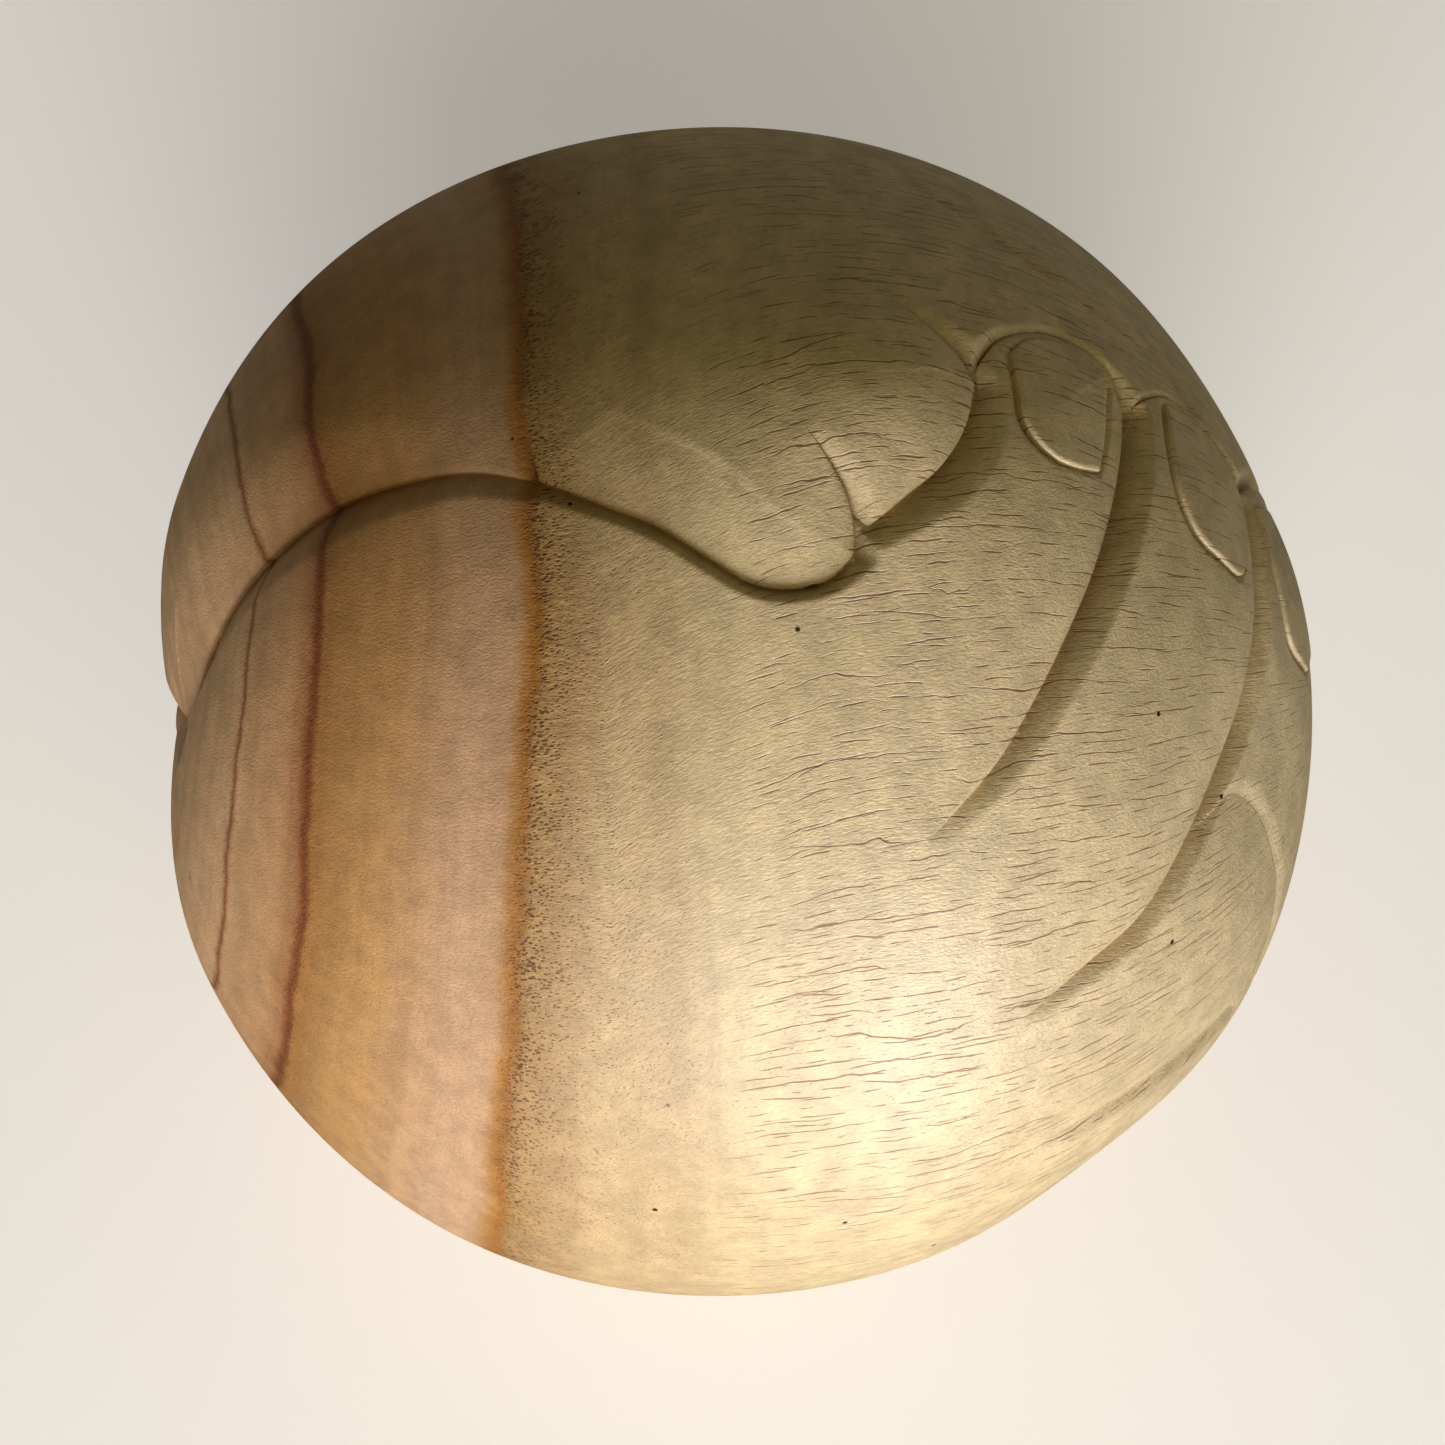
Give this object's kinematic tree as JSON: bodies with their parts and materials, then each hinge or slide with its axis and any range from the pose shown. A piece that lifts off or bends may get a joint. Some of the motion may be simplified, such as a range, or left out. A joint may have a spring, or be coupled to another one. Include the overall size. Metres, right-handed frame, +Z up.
{
  "type": "carved wooden ball of clasped hands",
  "caption": "Palm-sized wooden ball carved in relief as two clasped hands, resting on a small flat foot.",
  "frame": {"origin": "centre of the flat foot, where the ball touches the floor", "axes": "+Z up; the clasp of the two hands faces forward and up, towards -Y and +Z; the wrists are on the -X side and the right hand's fingertips on the +X side"},
  "size_m": [0.1152, 0.1154, 0.1145],
  "materials": {
    "carved_wood": "satin"
  },
  "bodies": {
    "root": {"core_ball": "carved_wood", "left_hand_back": "carved_wood", "left_index_finger": "carved_wood", "left_middle_finger": "carved_wood", "left_ring_finger": "carved_wood", "left_little_finger": "carved_wood", "left_forearm": "carved_wood", "right_hand_back": "carved_wood", "right_index_finger": "carved_wood", "right_middle_finger": "carved_wood", "right_ring_finger": "carved_wood", "right_little_finger": "carved_wood", "right_hand_heel": "carved_wood", "right_forearm": "carved_wood", "right_index_nail": "carved_wood", "right_middle_nail": "carved_wood", "right_ring_nail": "carved_wood"}
  },
  "joints": []
}
